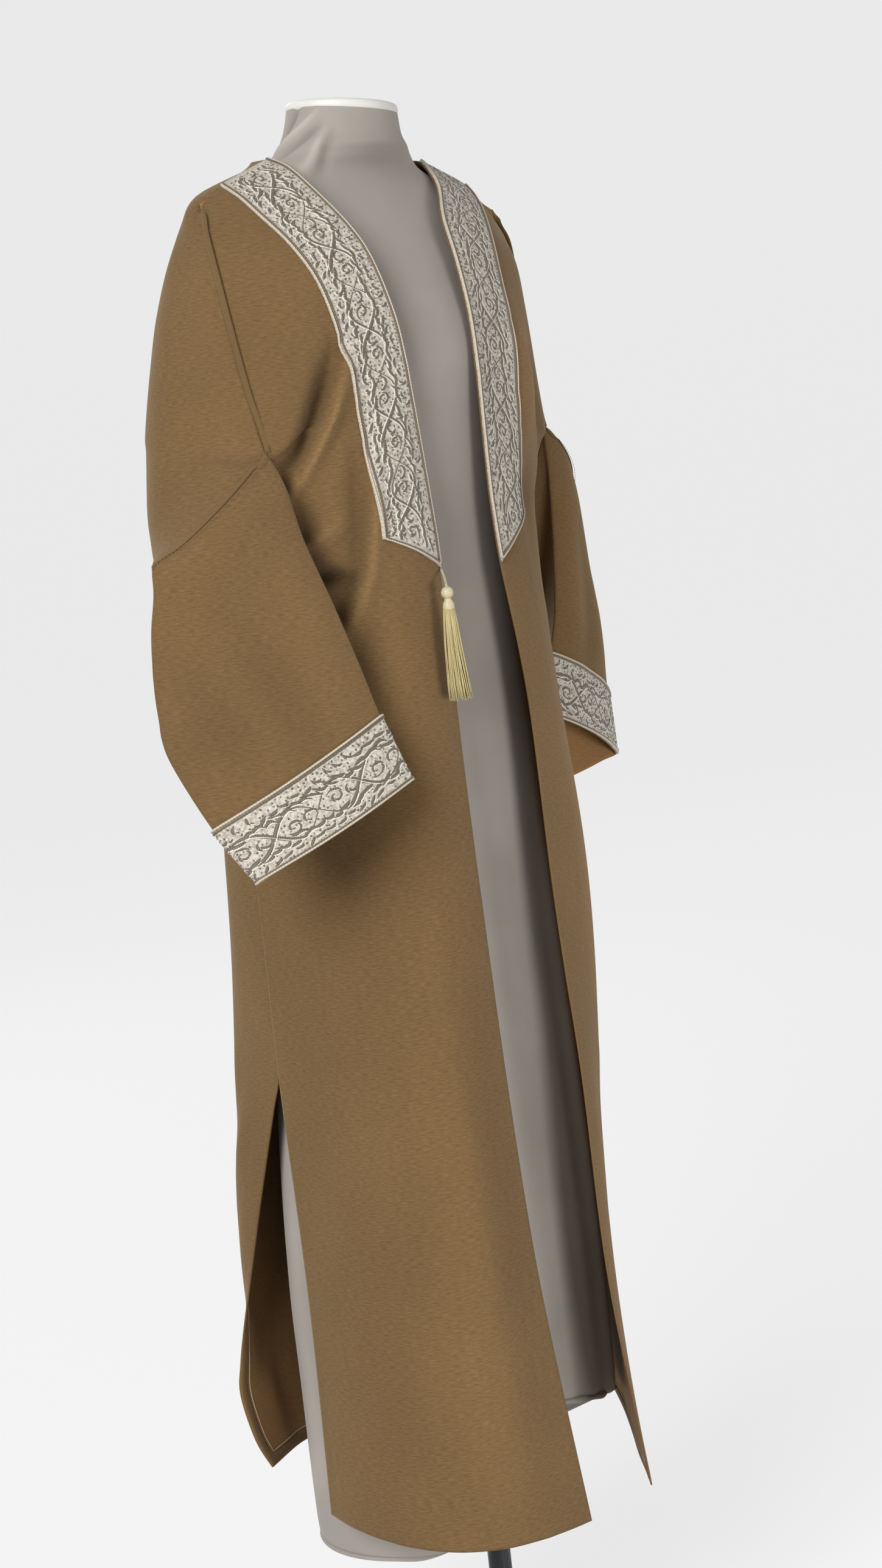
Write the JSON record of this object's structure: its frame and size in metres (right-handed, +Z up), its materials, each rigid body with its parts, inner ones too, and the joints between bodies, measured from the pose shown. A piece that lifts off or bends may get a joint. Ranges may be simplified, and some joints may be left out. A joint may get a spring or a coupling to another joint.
{
  "type": "abaya cloak on dress form stand",
  "caption": "Open-front abaya cloak with wide sleeves and patterned bands, worn on a limbless dress form on a pole and a round floor base.",
  "frame": {"origin": "centre of the round base's underside, on the floor", "axes": "+Z up along the stand's pole, -Y the way the open front faces, +X towards the wearer's left sleeve"},
  "size_m": [0.7308, 0.4043, 1.6613],
  "materials": {
    "cloth": "felted wool twill, matt",
    "band": "couched cord embroidery, satin",
    "tassel": "rayon thread, silky",
    "jersey": "cotton jersey, matt",
    "cap": "painted cap, matt",
    "metal": "black powder coat"
  },
  "bodies": {
    "root": {"front_right": "cloth", "front_left": "cloth", "back_panel": "cloth", "sleeve_right": "cloth", "sleeve_left": "cloth", "cuff_band_right": "band", "cuff_band_left": "band", "front_band_right": "band", "front_band_left": "band", "tassel": "tassel", "form_body": "jersey", "form_cap": "cap", "stand_pole": "metal", "stand_base": "metal"}
  },
  "joints": []
}
